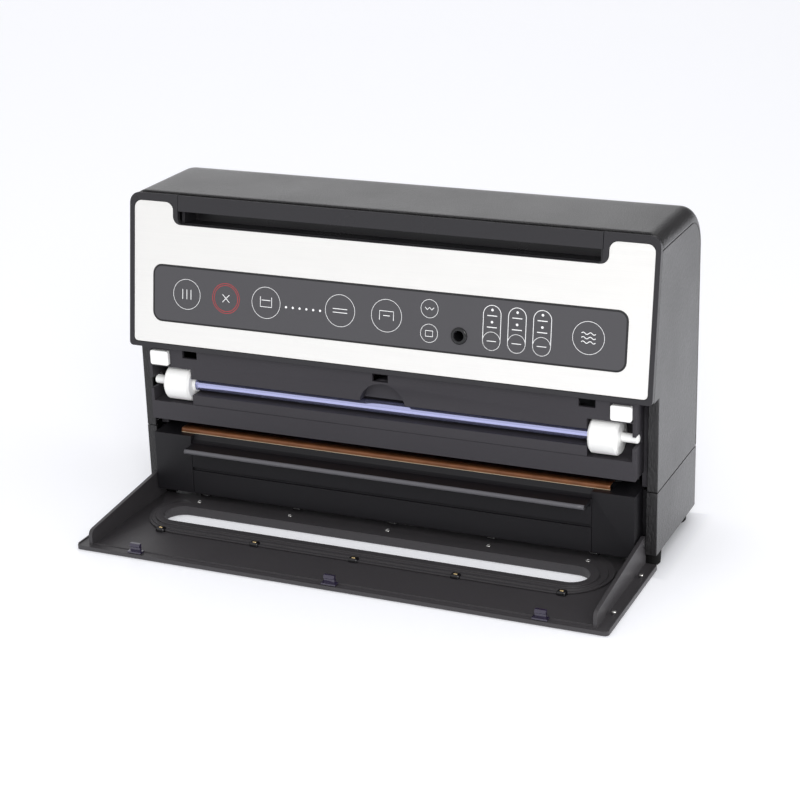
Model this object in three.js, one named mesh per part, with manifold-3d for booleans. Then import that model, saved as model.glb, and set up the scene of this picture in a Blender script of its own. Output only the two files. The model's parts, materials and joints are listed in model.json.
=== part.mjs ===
// A countertop vacuum sealer with a drop-down front door, drawn with the door open.
// Millimetres, +Z up, the front faces -Y, +X is the user's right.
//
// Pieces are laid out from the bezel's lower front edge (Y = 0) and the table (Z = 0).
// The finished group is then moved back so that the origin is the middle of its footprint.

import * as THREE from 'three';
import { mergeVertices } from 'three/addons/utils/BufferGeometryUtils.js';
import Module from 'manifold-3d';

const wasm = await Module();
wasm.setup();

// ---------------------------------------------------------------- driving dimensions

const HALF_WIDTH = 200;       // casing, half of its width
const BACK_Y = 121;           // flat rear face
const RETURN_Y = 15.6;        // front face of the casing's narrow front returns
const FOOT_HEIGHT = 11;       // clear height under the base
const SPLIT_Z = 57.5;         // parting line between base and upper casing
const TOP_Z = 239.5;          // flat top
const TOP_BACK_RADIUS = 33;   // big round edge where the top turns into the back
const SIDE_EDGE_RADIUS = 11;  // smaller round edge along both sides of top and back
const WALL = 2.6;             // moulded wall thickness
const INLET_X = 110;          // mains inlet in the rear wall of the base
const GAP = 0.3;              // clearance between neighbouring pieces

const PANEL_FOOT_Z = 126.4;   // lower edge of the leaning control panel
const PANEL_HEIGHT = 113.5;   // along its slope
const PANEL_LEAN = THREE.MathUtils.degToRad(8.3);
const BEZEL_DEPTH = 3.6;      // bezel thickness behind the panel face
const BEZEL_LIP = 3.4;        // width of the rim around the steel sheet
const NOTCH_HALF = 160.5;     // hand-grip notch in the panel's upper edge
const NOTCH_FLOOR = 92.5;     // its lower edge, along the slope
const WINDOW = { x: 180.3, low: 20.5, high: 62 };

const FRAME_HALF = 187.5;     // inner front frame, half of its width
const FRAME_Y = 4.5;          // its front face
const GROOVE_OUT = 192.3;     // outer side of the groove that takes a door's side wall
const GROOVE_BACK = 24;       // back of that groove
const CHANNEL_TOP = 68.7;     // bag channel, roof
const TRAY_HALF = 156.5;      // drip tray, half of its width
const SHELF_Z = 51.4;         // top of the tray's handle lip, which also carries the bag
const SHELF_TIP_Y = -8.3;

const HINGE = { y: 14.5, z: 18.5 };
const DOOR = { half: 200.5, free: -92.6, back: 18, out: 0.5, skin: 3.5 };
const DOOR_WALL = { inner: 188.9, outer: 191.7 };
const SLOT = { y: -24.2, half: 165, radius: 13.2 };
const SLOT_FLANGE = { y: -16, half: 179, radius: 35 };

const ROLLER = { y: 13.5, z: 96.6, tip: 187.2, plugOut: 175, plugIn: 154, plugRadius: 13.2, rod: 4.6 };
const POCKET = { radius: 13.9, wall: 1.2, inner: 152.8 };
const ROD_GROOVE = 6.4;

const JAW_TRAVEL = 6.3;
const STRIP_TOP = 60.6;       // top of the sealing strip
const CAM = { y: 38, z: 85, base: 6, turn: THREE.MathUtils.degToRad(120), half: 95 };

const STEPS = 4;              // a quarter-round edge gets twice as many facets

// ---------------------------------------------------------------- shaping helpers

const X = new THREE.Vector3(1, 0, 0);
const Y = new THREE.Vector3(0, 1, 0);
const Z = new THREE.Vector3(0, 0, 1);
const ALONG_X = new THREE.Matrix4().makeBasis(Y, Z, X);
const ALONG_BACK = new THREE.Matrix4().makeBasis(X, Z, Y.clone().negate());
const ALONG_Z = new THREE.Matrix4();
const PANEL_UP = new THREE.Vector3(0, Math.sin(PANEL_LEAN), Math.cos(PANEL_LEAN));
const PANEL_OUT = new THREE.Vector3(0, -Math.cos(PANEL_LEAN), Math.sin(PANEL_LEAN));
const ON_PANEL = new THREE.Matrix4().makeBasis(X, PANEL_UP, PANEL_OUT).setPosition(0, 0, PANEL_FOOT_Z);

// Turns a closed three.js geometry into a solid that can be joined and cut.
function solidOf(geometry) {
  geometry.deleteAttribute('normal');
  geometry.deleteAttribute('uv');
  const merged = mergeVertices(geometry, 1e-4);
  return new wasm.Manifold(new wasm.Mesh({
    numProp: 3,
    vertProperties: new Float32Array(merged.attributes.position.array),
    triVerts: new Uint32Array(merged.index.array),
  }));
}

function join(...solids) {
  return solids.reduce((whole, next) => whole.add(next));
}

function cut(solid, ...tools) {
  return tools.reduce((left, tool) => left.subtract(tool), solid);
}

function shapeOf(outline) {
  if (outline instanceof THREE.Shape) return outline;
  return new THREE.Shape(outline.map(([a, b]) => new THREE.Vector2(a, b)));
}

function prism(outline, near, far, axes, steps = STEPS) {
  const geometry = new THREE.ExtrudeGeometry(shapeOf(outline), {
    depth: far - near, bevelEnabled: false, curveSegments: steps,
  });
  geometry.translate(0, 0, near);
  geometry.applyMatrix4(axes);
  return solidOf(geometry);
}

// Outline in (Y, Z) carried from x0 to x1.
const prismX = (outline, x0, x1) => prism(outline, x0, x1, ALONG_X);
// Outline in (X, Z) carried from y0 to y1.
const prismY = (outline, y0, y1) => prism(outline, -y1, -y0, ALONG_BACK);
// Outline in (X, Y) carried from z0 to z1.
const prismZ = (outline, z0, z1, steps) => prism(outline, z0, z1, ALONG_Z, steps);
// Outline in (X, height up the panel) carried from depth0 to depth1, outwards positive.
const prismPanel = (outline, depth0, depth1, steps) => prism(outline, depth0, depth1, ON_PANEL, steps);

function box(x0, x1, y0, y1, z0, z1) {
  const geometry = new THREE.BoxGeometry(x1 - x0, y1 - y0, z1 - z0);
  geometry.translate((x0 + x1) / 2, (y0 + y1) / 2, (z0 + z1) / 2);
  return solidOf(geometry);
}

function rodX(radius, x0, x1, y, z, sides = 20) {
  const geometry = new THREE.CylinderGeometry(radius, radius, x1 - x0, sides);
  geometry.rotateZ(Math.PI / 2);
  geometry.translate((x0 + x1) / 2, y, z);
  return solidOf(geometry);
}

function rodY(radius, y0, y1, x, z, sides = 20) {
  const geometry = new THREE.CylinderGeometry(radius, radius, y1 - y0, sides);
  geometry.translate(x, (y0 + y1) / 2, z);
  return solidOf(geometry);
}

function rodZ(radius, z0, z1, x, y, sides = 20) {
  const geometry = new THREE.CylinderGeometry(radius, radius, z1 - z0, sides);
  geometry.rotateX(Math.PI / 2);
  geometry.translate(x, y, (z0 + z1) / 2);
  return solidOf(geometry);
}

// Rectangle with its own radius at each corner: low left, low right, high right, high left.
function roundRect(x0, x1, y0, y1, [r1, r2, r3, r4]) {
  const quarter = Math.PI / 2;
  const shape = new THREE.Shape();
  shape.moveTo(x0 + r1, y0);
  shape.lineTo(x1 - r2, y0);
  if (r2) shape.absarc(x1 - r2, y0 + r2, r2, -quarter, 0);
  shape.lineTo(x1, y1 - r3);
  if (r3) shape.absarc(x1 - r3, y1 - r3, r3, 0, quarter);
  shape.lineTo(x0 + r4, y1);
  if (r4) shape.absarc(x0 + r4, y1 - r4, r4, quarter, 2 * quarter);
  shape.lineTo(x0, y0 + r1);
  if (r1) shape.absarc(x0 + r1, y0 + r1, r1, 2 * quarter, 3 * quarter);
  return shape;
}

function evenRect(x0, x1, y0, y1, radius) {
  return roundRect(x0, x1, y0, y1, [radius, radius, radius, radius]);
}

// Both sides of the machine are alike: the same solid, and its mirror image.
function mirrored(solid) {
  return solid.mirror([1, 0, 0]);
}

const machine = new THREE.Group();

function piece(name, solid, color, roughness, metalness = 0) {
  const { vertProperties, triVerts } = solid.getMesh();
  const geometry = new THREE.BufferGeometry();
  geometry.setAttribute('position', new THREE.BufferAttribute(new Float32Array(vertProperties), 3));
  geometry.setIndex(new THREE.BufferAttribute(new Uint32Array(triVerts), 1));
  geometry.computeVertexNormals();
  const material = new THREE.MeshStandardMaterial({ color, roughness, metalness });
  const mesh = new THREE.Mesh(geometry, material);
  mesh.name = name;
  mesh.position.y = -(BACK_Y + DOOR.free) / 2;
  machine.add(mesh);
}

function pair(name, rightSolid, ...finish) {
  piece(`${name}_right`, rightSolid, ...finish);
  piece(`${name}_left`, mirrored(rightSolid), ...finish);
}

const CHARCOAL = 0x2b2a2c;
const SMOOTH_BLACK = 0x1b1b1d;
const FRAME_BLACK = 0x29292b;
const WHITE = 0xf2f2f0;
const STEEL = 0xd6d5d2;

// ---------------------------------------------------------------- casing

// Height and depth of a point on the panel's back side: up along the slope, in behind its face.
function behindPanel(up, depth) {
  return [
    up * Math.sin(PANEL_LEAN) + depth * Math.cos(PANEL_LEAN),
    PANEL_FOOT_Z + up * Math.cos(PANEL_LEAN) - depth * Math.sin(PANEL_LEAN),
  ];
}

// The upper casing's full block, shrunk by `inset`: side view, then round side edges.
function casingBlock(inset, frontReach = 0) {
  const low = SPLIT_Z + GAP / 2 - (inset ? 5 : 0);
  const back = BACK_Y - inset;
  const top = TOP_Z - inset;
  const side = HALF_WIDTH - inset;
  const radius = TOP_BACK_RADIUS - inset;
  const panelBack = BEZEL_DEPTH + GAP - frontReach;
  const profile = new THREE.Shape();
  profile.moveTo(RETURN_Y - frontReach, low);
  profile.lineTo(back, low);
  profile.lineTo(back, top - radius);
  profile.absarc(back - radius, top - radius, radius, 0, Math.PI / 2);
  profile.lineTo(behindPanel(PANEL_HEIGHT + 1, panelBack)[0], top);
  profile.lineTo(...behindPanel(0.5, panelBack));
  profile.lineTo(RETURN_Y - frontReach, PANEL_FOOT_Z);
  const edge = Math.max(SIDE_EDGE_RADIUS - inset, 2);
  const fromFront = roundRect(-side, side, low, top, [0, 0, edge, edge]);
  const fromAbove = roundRect(-side, side, -40, back, [0, 0, edge, edge]);
  return prismX(profile, -side, side)
    .intersect(prismY(fromFront, -40, back))
    .intersect(prismZ(fromAbove, low, top));
}

// Outline (Y, Z) of the flat side panel, set in from the round top and back edges.
function sidePanelOutline(grow) {
  const back = BACK_Y - SIDE_EDGE_RADIUS + grow;
  const top = TOP_Z - SIDE_EDGE_RADIUS + grow;
  const radius = TOP_BACK_RADIUS - SIDE_EDGE_RADIUS + grow;
  const outline = new THREE.Shape();
  outline.moveTo(-20, SPLIT_Z - 5);
  outline.lineTo(back, SPLIT_Z - 5);
  outline.lineTo(back, top - radius);
  outline.absarc(back - radius, top - radius, radius, 0, Math.PI / 2);
  outline.lineTo(-20, top);
  return outline;
}

function topBackCover() {
  const shell = cut(casingBlock(0), casingBlock(WALL, 25));
  const sideWindow = prismX(sidePanelOutline(GAP), HALF_WIDTH - 2 * WALL, HALF_WIDTH + 5);
  const roofEdge = box(-NOTCH_HALF, NOTCH_HALF, -5, 46, TOP_Z - 26, TOP_Z - WALL - 0.1);
  return cut(shell, sideWindow, mirrored(sideWindow), roofEdge);
}

function sideCover() {
  const slab = box(HALF_WIDTH - WALL, HALF_WIDTH + 1, -30, BACK_Y, SPLIT_Z, TOP_Z);
  const outline = prismX(sidePanelOutline(0), GROOVE_OUT, HALF_WIDTH + 1);
  const plate = casingBlock(0).intersect(outline).intersect(slab);
  const frontReturn = box(
    GROOVE_OUT, HALF_WIDTH - 1, RETURN_Y, RETURN_Y + WALL, SPLIT_Z + GAP / 2, PANEL_FOOT_Z,
  );
  return join(plate, frontReturn);
}

function baseShell() {
  const low = FOOT_HEIGHT;
  const high = SPLIT_Z - GAP / 2;
  const plan = (inset) => roundRect(
    -HALF_WIDTH + inset, HALF_WIDTH - inset, RETURN_Y + inset, BACK_Y - inset,
    [0.5, 0.5, SIDE_EDGE_RADIUS - inset, SIDE_EDGE_RADIUS - inset],
  );
  const tub = cut(prismZ(plan(0), low, high), prismZ(plan(WALL), low + WALL, high + 5));
  const frontDoorway = box(-GROOVE_OUT, GROOVE_OUT, 0, 28, low - 1, high + 1);
  const tongue = box(-FRAME_HALF + 1.4, FRAME_HALF - 1.4, 8, 29, low, low + WALL);
  const inletHole = box(INLET_X - 12, INLET_X + 12, BACK_Y - 10, BACK_Y + 5, 22, 38);
  let shell = join(cut(tub, frontDoorway), tongue);
  for (const x of [-150, 150]) {
    for (const y of [78, 110]) shell = cut(shell, rodZ(3.4, low - 1, low + WALL + 1, x, y, 16));
  }
  const ventSlot = (x) => box(x, x + 3, 40, 62, low - 1, low + WALL + 1);
  for (let n = 0; n < 5; n += 1) {
    shell = cut(shell, ventSlot(166 + 6 * n), ventSlot(-169 - 6 * n));
  }
  const pryNotch = prismX([
    [104, high], [BACK_Y + 1, high - 2.6], [BACK_Y + 1, high + 1], [104, high + 1],
  ], HALF_WIDTH - 14, HALF_WIDTH + 1);
  return cut(shell, inletHole, pryNotch, mirrored(pryNotch));
}

function foot(x, y) {
  const profile = [[0, 0], [6.6, 0], [7.6, 1.2], [8, FOOT_HEIGHT - GAP], [0, FOOT_HEIGHT - GAP]];
  const geometry = new THREE.LatheGeometry(profile.map(([r, h]) => new THREE.Vector2(r, h)), 24);
  geometry.rotateX(Math.PI / 2);
  geometry.translate(x, y, 0);
  return solidOf(geometry);
}

function baseScrew(x, y) {
  return join(
    rodZ(3, FOOT_HEIGHT + 0.4, FOOT_HEIGHT + 2.4, x, y, 16),
    rodZ(1.5, FOOT_HEIGHT + 2.2, FOOT_HEIGHT + 13, x, y, 12),
  );
}

// Two-pin mains inlet: a moulded block with a recess and two contact pins.
function powerInlet() {
  const block = box(INLET_X - 12 + GAP, INLET_X + 12 - GAP, 100, BACK_Y - 0.4, 22 + GAP, 38 - GAP);
  const recess = prismY(evenRect(INLET_X - 8, INLET_X + 8, 25.5, 34.5, 4.4), 108, BACK_Y + 1);
  const contact = (x) => rodY(1.1, 107, 118, x, 30, 8);
  return join(cut(block, recess), contact(INLET_X - 3.8), contact(INLET_X + 3.8));
}

piece('top_back_cover', topBackCover(), CHARCOAL, 0.7);
pair('side_cover', sideCover(), CHARCOAL, 0.7);
piece('base_shell', baseShell(), CHARCOAL, 0.7);
for (const [place, x, y] of [
  ['front_left', -191.8, 27.2], ['front_right', 191.8, 27.2],
  ['rear_left', -188, 104], ['rear_right', 188, 104],
]) {
  piece(`foot_${place}`, foot(x, y), 0x1c1c1c, 0.9);
}
for (const [place, x, y] of [
  ['front_left', -150, 78], ['front_right', 150, 78], ['rear_left', -150, 110], ['rear_right', 150, 110],
]) {
  piece(`base_screw_${place}`, baseScrew(x, y), 0x8f9195, 0.4, 1);
}
piece('power_inlet', powerInlet(), SMOOTH_BLACK, 0.5);

// ---------------------------------------------------------------- control panel

// Outline of the bezel or the steel sheet: a rectangle whose upper edge drops into the
// hand-grip notch through an S-curve on each side.
function notchedOutline(inset, cornerRadius) {
  const side = HALF_WIDTH - inset;
  const low = inset;
  const high = PANEL_HEIGHT - (inset ? inset + 2 : 0);
  const floor = NOTCH_FLOOR - inset * 0.15;
  const mouth = NOTCH_HALF + inset * 1.1;
  const r = inset ? 6 : 4;
  const shape = new THREE.Shape();
  shape.moveTo(-side + 3, low);
  shape.lineTo(side - 3, low);
  shape.absarc(side - 3, low + 3, 3, -Math.PI / 2, 0);
  shape.lineTo(side, high - cornerRadius);
  shape.absarc(side - cornerRadius, high - cornerRadius, cornerRadius, 0, Math.PI / 2);
  if (inset) {
    shape.lineTo(mouth + r, high);
    shape.absarc(mouth + r, high - r, r, Math.PI / 2, Math.PI);
  } else {
    shape.lineTo(mouth, high);
  }
  shape.lineTo(mouth, floor + r);
  shape.absarc(mouth - r, floor + r, r, 0, -Math.PI / 2, true);
  shape.lineTo(-mouth + r, floor);
  shape.absarc(-mouth + r, floor + r, r, -Math.PI / 2, -Math.PI, true);
  if (inset) {
    shape.lineTo(-mouth, high - r);
    shape.absarc(-mouth - r, high - r, r, 0, Math.PI / 2);
  } else {
    shape.lineTo(-mouth, high);
  }
  shape.lineTo(-side + cornerRadius, high);
  shape.absarc(-side + cornerRadius, high - cornerRadius, cornerRadius, Math.PI / 2, Math.PI);
  shape.lineTo(-side, low + 3);
  shape.absarc(-side + 3, low + 3, 3, Math.PI, 1.5 * Math.PI);
  return shape;
}

const PORT = { x: 60.6, up: 33.2, radius: 5.2, bore: 3.6 };
const windowOutline = (grow) => evenRect(
  -WINDOW.x - grow, WINDOW.x + grow, WINDOW.low - grow, WINDOW.high + grow, 7 + grow,
);

function portHole(radius) {
  const geometry = new THREE.CylinderGeometry(radius, radius, 30, 20);
  geometry.rotateX(Math.PI / 2);
  geometry.translate(PORT.x, PORT.up, -5);
  geometry.applyMatrix4(ON_PANEL);
  return solidOf(geometry);
}

function frontBezel() {
  const block = prismPanel(notchedOutline(0, 8), -BEZEL_DEPTH, 0.5, 3);
  const pocket = prismPanel(notchedOutline(BEZEL_LIP, 6), -1.3, 3, 3);
  const cableWindow = prismPanel(evenRect(-150, 150, 28, 54, 3), -BEZEL_DEPTH - 2, 1, 1);
  return cut(block, pocket, cableWindow, portHole(PORT.radius + 1.2));
}

function steelPanel() {
  const sheet = prismPanel(notchedOutline(BEZEL_LIP + GAP, 5.7), -1, -0.1, 3);
  return cut(sheet, prismPanel(windowOutline(0.35), -3, 3, 3));
}

function controlOverlay() {
  return cut(prismPanel(windowOutline(0), -1, 0, 3), portHole(PORT.radius + GAP));
}

// Socket for the canister hose: a short tube with a rim, open at its face.
function hosePort() {
  const profile = [
    [PORT.bore, -14], [PORT.radius, -14], [PORT.radius, 0.9], [4.8, 1.4], [3.9, 1.4],
    [PORT.bore, 0.9], [PORT.bore, -14],
  ];
  const geometry = new THREE.LatheGeometry(profile.map(([r, h]) => new THREE.Vector2(r, h)), 20);
  geometry.rotateX(Math.PI / 2);
  geometry.translate(PORT.x, PORT.up, 0);
  geometry.applyMatrix4(ON_PANEL);
  return solidOf(geometry);
}

// Hand grip: a flange level with the panel, overhanging a finger pocket.
function gripInsert() {
  const half = NOTCH_HALF - GAP;
  const section = [
    [113.3, -0.6], [101.8, -0.6], [101.8, 2.2], [108.6, 2.2], [108.6, 22.8], [93, 22.8], [93, 3.9],
    [90.4, 3.9], [90.4, 25], [110.9, 25], [110.9, 3.4], [113.3, 3.4],
  ].map(([up, depth]) => behindPanel(up, depth));
  const endWall = [[91.4, 4.6], [91.4, 24], [109.8, 24], [109.8, 1], [102.6, 1], [102.6, 4.6]]
    .map(([up, depth]) => behindPanel(up, depth));
  const end = prismX(endWall, half - 2.7, half - 0.4);
  return join(prismX(section, -half, half), end, mirrored(end));
}

piece('front_bezel', frontBezel(), SMOOTH_BLACK, 0.3);
piece('steel_panel', steelPanel(), STEEL, 0.28, 1);
piece('control_overlay', controlOverlay(), 0x4b4b50, 0.35);
piece('hose_port', hosePort(), 0x0c0c0d, 0.4);
piece('grip_insert', gripInsert(), 0x232225, 0.45);

// ---------------------------------------------------------------- inner front frame

const latchSlots = [-153, 0, 153];

// Channel around the roller's axis: round at the back, straight out to `front` at Y.
function rollerChannel(radius, x0, x1, front) {
  const straight = box(x0, x1, front, ROLLER.y, ROLLER.z - radius, ROLLER.z + radius);
  const ahead = box(x0 - 1, x1 + 1, -60, front, 0, TOP_Z);
  return cut(join(rodX(radius, x0, x1, ROLLER.y, ROLLER.z, 32), straight), ahead);
}

// Upper half: latch row, rod groove with a plug pocket at each end, roof of the bag channel.
function upperFrame() {
  const top = PANEL_FOOT_Z - 0.6;
  const face = box(-FRAME_HALF, FRAME_HALF, FRAME_Y, FRAME_Y + 2.5, CHANNEL_TOP, top);
  const cheek = box(FRAME_HALF - 2.3, FRAME_HALF, FRAME_Y, GROOVE_BACK + WALL, CHANNEL_TOP, top);
  const flange = box(FRAME_HALF - 1, GROOVE_OUT - GAP, GROOVE_BACK, GROOVE_BACK + WALL, SPLIT_Z + GAP, top);
  const roof = box(-FRAME_HALF, FRAME_HALF, FRAME_Y, GROOVE_BACK + WALL, top - WALL, top);
  const grooveShell = rollerChannel(ROD_GROOVE + 1.8, -POCKET.inner, POCKET.inner, FRAME_Y);
  const groove = rollerChannel(ROD_GROOVE, -POCKET.inner - 3, POCKET.inner + 3, -1);
  const pocketShell = rollerChannel(POCKET.radius + POCKET.wall, POCKET.inner - 1.6, FRAME_HALF, FRAME_Y);
  const pocket = rollerChannel(POCKET.radius, POCKET.inner, FRAME_HALF - 2.3, -1);
  const lowBand = box(-POCKET.inner, POCKET.inner, 0, FRAME_Y + 0.7, ROLLER.z - POCKET.radius, ROLLER.z - 2);
  const fingerCup = cut(rodY(20, FRAME_Y, 16, 1, 99.4), box(-30, 30, 0, 40, 60, 90));
  const fingerHollow = cut(rodY(18, 0, 14, 1, 99.4), box(-30, 30, 0, 40, 60, 92));
  const pinSlot = box(FRAME_HALF - 5, FRAME_HALF + 1, 0, ROLLER.y + 4.2, ROLLER.z - 4.2, ROLLER.z + 4.2);
  const latchButtonHole = box(170 - 0.4, 186.2 + 0.4 - 1.2, 0, 8, 112 - 0.4, 123 + 0.4);
  let frame = join(
    face, cheek, mirrored(cheek), flange, mirrored(flange), roof, grooveShell,
    pocketShell, mirrored(pocketShell), fingerCup,
  );
  frame = cut(frame, groove, pocket, mirrored(pocket), lowBand, fingerHollow, pinSlot, mirrored(pinSlot));
  frame = cut(frame, latchButtonHole, mirrored(latchButtonHole));
  for (const x of latchSlots) frame = cut(frame, box(x - 6, x + 6, 0, 8, 118.6, 124.4));
  const hanger = cut(box(118.5, 121.5, 15, 46, 79.5, 92), rodX(3.4, 110, 130, CAM.y, CAM.z, 16));
  const hangers = cut(join(hanger, mirrored(hanger)), groove);
  return join(frame, hangers);
}

// Lower half: sill that holds the heating bar, chamber trough behind it, cheeks beside the tray.
function lowerFrame() {
  const top = SPLIT_Z - GAP / 2;
  const faceOut = box(TRAY_HALF + GAP, FRAME_HALF, FRAME_Y, FRAME_Y + 2.5, FOOT_HEIGHT + 0.8, top);
  const cheek = box(FRAME_HALF - 2.5, FRAME_HALF, FRAME_Y, GROOVE_BACK + WALL, FOOT_HEIGHT + WALL + GAP, top);
  const flange = box(
    FRAME_HALF - 1, GROOVE_OUT - GAP, GROOVE_BACK, GROOVE_BACK + WALL, FOOT_HEIGHT + 0.5, top - 2,
  );
  const pinBoss = rodX(4.5, 176, FRAME_HALF, HINGE.y, HINGE.z, 20);
  const pinHole = rodX(2.35, 170, FRAME_HALF + 10, HINGE.y, HINGE.z, 16);
  const trayCheek = box(TRAY_HALF + GAP, TRAY_HALF + GAP + 2.2, FRAME_Y, 43, FOOT_HEIGHT + WALL + GAP, top);
  const right = join(faceOut, cheek, flange, pinBoss, trayCheek);
  const sillProfile = new THREE.Shape();
  sillProfile.moveTo(FRAME_Y + 1, SHELF_Z + GAP);
  sillProfile.lineTo(43, SHELF_Z + GAP);
  sillProfile.lineTo(43, top);
  sillProfile.lineTo(10.6, top);
  sillProfile.quadraticCurveTo(9.6, SHELF_Z + 1.2, FRAME_Y + 1, SHELF_Z + GAP);
  const sill = prismX(sillProfile, -TRAY_HALF - 1, TRAY_HALF + 1);
  const endSill = box(TRAY_HALF, FRAME_HALF - 1, FRAME_Y, 43, SHELF_Z + 3, top);
  const barPocket = box(-168.2, 168.2, 11.1, 23.1, SHELF_Z + 2.2, top + 5);
  const chamber = box(-168, 168, 29, 38.4, SHELF_Z + 2.2, top + 5);
  const drain = box(-20, 20, 30, 37, SHELF_Z - 5, top);
  const frame = join(right, mirrored(right), sill, endSill, mirrored(endSill));
  return cut(frame, barPocket, chamber, drain, pinHole, mirrored(pinHole));
}

// Slide-out drip tray: open box whose front edge turns out into a handle lip.
function dripTray() {
  const bodyTop = SHELF_Z - 2.6;
  const low = FOOT_HEIGHT + WALL + GAP;
  const body = box(-TRAY_HALF + 2, TRAY_HALF - 2, 6, 68, low, bodyTop);
  const hollow = box(-TRAY_HALF + 4, TRAY_HALF - 4, 9, 66, low + 2, bodyTop + 5);
  const front = box(-TRAY_HALF, TRAY_HALF, FRAME_Y, FRAME_Y + 3, FOOT_HEIGHT + 0.8, SHELF_Z);
  const lip = prismX([
    [SHELF_TIP_Y, SHELF_Z - 2.6], [SHELF_TIP_Y + 1, SHELF_Z - 3.1], [FRAME_Y - 1.5, SHELF_Z - 3.4],
    [FRAME_Y + 1, SHELF_Z - 6], [FRAME_Y + 1, SHELF_Z], [SHELF_TIP_Y + 0.8, SHELF_Z],
  ], -TRAY_HALF + 0.5, TRAY_HALF - 0.5);
  const fingerLine = box(-TRAY_HALF - 1, TRAY_HALF + 1, 0, FRAME_Y + 2, 30.2, 32.6);
  return cut(join(cut(body, hollow), front, lip), fingerLine);
}

piece('upper_frame', upperFrame(), FRAME_BLACK, 0.6);
piece('lower_frame', lowerFrame(), FRAME_BLACK, 0.6);
piece('drip_tray', dripTray(), FRAME_BLACK, 0.55);

// ---------------------------------------------------------------- sealing parts

piece('heat_bar', box(-165, 165, 12, 22.2, SHELF_Z + 2.5, STRIP_TOP - 1.1), 0xb9bcc0, 0.4, 1);

// Slippery cloth strip folded over the top and the front edge of the heating bar.
function sealingStrip() {
  const outline = [
    [11.35, 56.5], [11.7, 56.5], [11.7, STRIP_TOP - 0.8], [22.7, STRIP_TOP - 0.8],
    [22.7, STRIP_TOP], [11.9, STRIP_TOP], [11.35, STRIP_TOP - 0.6],
  ];
  return prismX(outline, -167.7, 167.7);
}

// Ring of foam around the vacuum chamber.
function gasketRing(z0, z1) {
  const outer = prismZ(evenRect(-171.5, 171.5, 25.6, 42, 5), z0, z1, 2);
  return cut(outer, prismZ(evenRect(-168.5, 168.5, 28.6, 39, 3), z0 - 1, z1 + 1, 2));
}

// Pressing jaw: carries the silicone strip over the heating bar and the upper gasket behind it.
const JAW_LOW = 70;
const JAW_TOP = 78;

function upperJaw() {
  const beam = box(-183.5, 183.5, 11.5, 43, JAW_LOW, JAW_TOP);
  const lightening = box(-114, 114, 14, 27, JAW_LOW + 3, JAW_TOP + 1);
  const chamber = box(-168, 168, 29, 38.6, JAW_LOW - 1, JAW_LOW + 3);
  return cut(beam, lightening, chamber);
}

// One shaft with two spiral cams, whose radius grows evenly with the angle.
function camShaft() {
  const rise = JAW_TRAVEL / CAM.turn;
  const points = [];
  const turns = 36;
  for (let n = 0; n <= turns; n += 1) {
    const swept = THREE.MathUtils.clamp((n / turns) * 1.5 * CAM.turn - 0.25 * CAM.turn, 0, CAM.turn);
    const angle = -Math.PI / 2 + (n / turns) * 1.5 * CAM.turn - 0.25 * CAM.turn;
    const radius = CAM.base + rise * swept;
    points.push([CAM.y + radius * Math.cos(angle), CAM.z + radius * Math.sin(angle)]);
  }
  points.push([CAM.y, CAM.z]);
  const lobe = (x) => prismX(points, x - 3, x + 3);
  const hub = (x) => rodX(5.4, x - 3, x + 3, CAM.y, CAM.z, 24);
  const shaft = rodX(3, -126, 150, CAM.y, CAM.z, 16);
  return join(shaft, lobe(-CAM.half), hub(-CAM.half), lobe(CAM.half), hub(CAM.half));
}

function jawGearmotor() {
  const gearbox = prismX(evenRect(CAM.y - 7.6, CAM.y + 20, CAM.z - 4.5, CAM.z + 24, 3), 150.4, 166);
  const can = rodX(9, 120, 152, CAM.y + 22, CAM.z + 17, 20);
  return join(gearbox, can);
}

// Helical return spring, standing on the sill outside the gasket.
class Coil extends THREE.Curve {
  constructor(radius, turns, height) {
    super();
    Object.assign(this, { radius, turns, height });
  }

  getPoint(t) {
    const angle = t * this.turns * 2 * Math.PI;
    return new THREE.Vector3(this.radius * Math.cos(angle), this.radius * Math.sin(angle), t * this.height);
  }
}

const SPRING = { x: 178, y: 34, low: SPLIT_Z + 0.4, high: JAW_LOW - 0.3, radius: 3, wire: 0.45, turns: 4.5 };

function jawSpring() {
  const section = new THREE.Shape();
  section.absarc(0, 0, SPRING.wire, 0, 2 * Math.PI);
  const height = SPRING.high - SPRING.low - 2 * SPRING.wire;
  const geometry = new THREE.ExtrudeGeometry(section, {
    steps: 40, curveSegments: 3, bevelEnabled: false,
    extrudePath: new Coil(SPRING.radius, SPRING.turns, height),
  });
  geometry.translate(SPRING.x, SPRING.y, SPRING.low + SPRING.wire);
  return solidOf(geometry);
}

piece('sealing_strip', sealingStrip(), 0x9a6238, 0.45);
piece('lower_gasket', gasketRing(SPLIT_Z + GAP, 60.3), 0x2c2c2e, 0.95);
piece('upper_gasket', gasketRing(66.9, JAW_LOW - GAP), 0x2c2c2e, 0.95);
piece('upper_jaw', upperJaw(), SMOOTH_BLACK, 0.6);
piece('jaw_silicone_strip', box(-166, 166, 13, 21.5, 67.2, JAW_LOW - GAP), 0x8d2f26, 0.7);
piece('cam_shaft', camShaft(), WHITE, 0.5);
piece('jaw_gearmotor', jawGearmotor(), 0x6b6e73, 0.5);
pair('jaw_spring', jawSpring(), 0xb8bbbf, 0.3, 1);

// ---------------------------------------------------------------- roll holder

piece('holder_rod', rodX(ROLLER.rod, -159, 159, ROLLER.y, ROLLER.z, 24), 0x5a5cc8, 0.15);

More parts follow.
